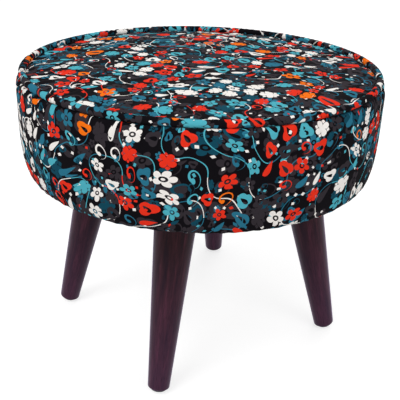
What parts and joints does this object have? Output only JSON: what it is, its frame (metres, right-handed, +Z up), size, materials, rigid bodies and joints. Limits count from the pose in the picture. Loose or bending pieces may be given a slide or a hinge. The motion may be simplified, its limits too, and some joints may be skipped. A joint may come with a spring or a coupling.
{
  "type": "tuffet",
  "caption": "Round upholstered tuffet or footstool with a piped, padded drum in printed cotton on turned, tapered wooden legs that splay outwards.",
  "frame": {"origin": "on the floor, under the middle of the seat", "axes": "+Z up; -Y towards the front leg; +X towards the right leg"},
  "size_m": [0.45, 0.45, 0.3631],
  "materials": {
    "plywood": "sanded",
    "fibreboard": "raw",
    "post_wood": "sawn",
    "foam": "open cell",
    "printed_cotton": "matte woven print",
    "piping_cotton": "matte woven print",
    "filler_cord": "twisted",
    "dust_cloth": "non-woven",
    "leg_wood": "dark stain, satin lacquer",
    "plate_steel": "pressed",
    "zinc_screw": "zinc plated",
    "glide_plastic": "moulded"
  },
  "bodies": {
    "root": {"base_board": "plywood", "seat_board": "plywood", "hoop": "fibreboard", "seat_foam": "foam", "side_foam": "foam", "top_cover": "printed_cotton", "side_cover": "printed_cotton", "piping_cover": "piping_cotton", "piping_cord": "filler_cord", "dust_cover": "dust_cloth", "front_right_post": "post_wood", "front_right_post_lower_screw": "zinc_screw", "front_right_post_upper_screw": "zinc_screw", "rear_right_post": "post_wood", "rear_right_post_lower_screw": "zinc_screw", "rear_right_post_upper_screw": "zinc_screw", "rear_left_post": "post_wood", "rear_left_post_lower_screw": "zinc_screw", "rear_left_post_upper_screw": "zinc_screw", "front_left_post": "post_wood", "front_left_post_lower_screw": "zinc_screw", "front_left_post_upper_screw": "zinc_screw", "front_leg_plate": "plate_steel", "front_plate_screw_1": "zinc_screw", "front_plate_screw_2": "zinc_screw", "front_plate_screw_3": "zinc_screw", "front_plate_screw_4": "zinc_screw", "front_leg": "leg_wood", "front_hanger_bolt": "zinc_screw", "front_glide": "glide_plastic", "right_leg_plate": "plate_steel", "right_plate_screw_1": "zinc_screw", "right_plate_screw_2": "zinc_screw", "right_plate_screw_3": "zinc_screw", "right_plate_screw_4": "zinc_screw", "right_leg": "leg_wood", "right_hanger_bolt": "zinc_screw", "right_glide": "glide_plastic", "rear_leg_plate": "plate_steel", "rear_plate_screw_1": "zinc_screw", "rear_plate_screw_2": "zinc_screw", "rear_plate_screw_3": "zinc_screw", "rear_plate_screw_4": "zinc_screw", "rear_leg": "leg_wood", "rear_hanger_bolt": "zinc_screw", "rear_glide": "glide_plastic", "left_leg_plate": "plate_steel", "left_plate_screw_1": "zinc_screw", "left_plate_screw_2": "zinc_screw", "left_plate_screw_3": "zinc_screw", "left_plate_screw_4": "zinc_screw", "left_leg": "leg_wood", "left_hanger_bolt": "zinc_screw", "left_glide": "glide_plastic"}
  },
  "joints": []
}
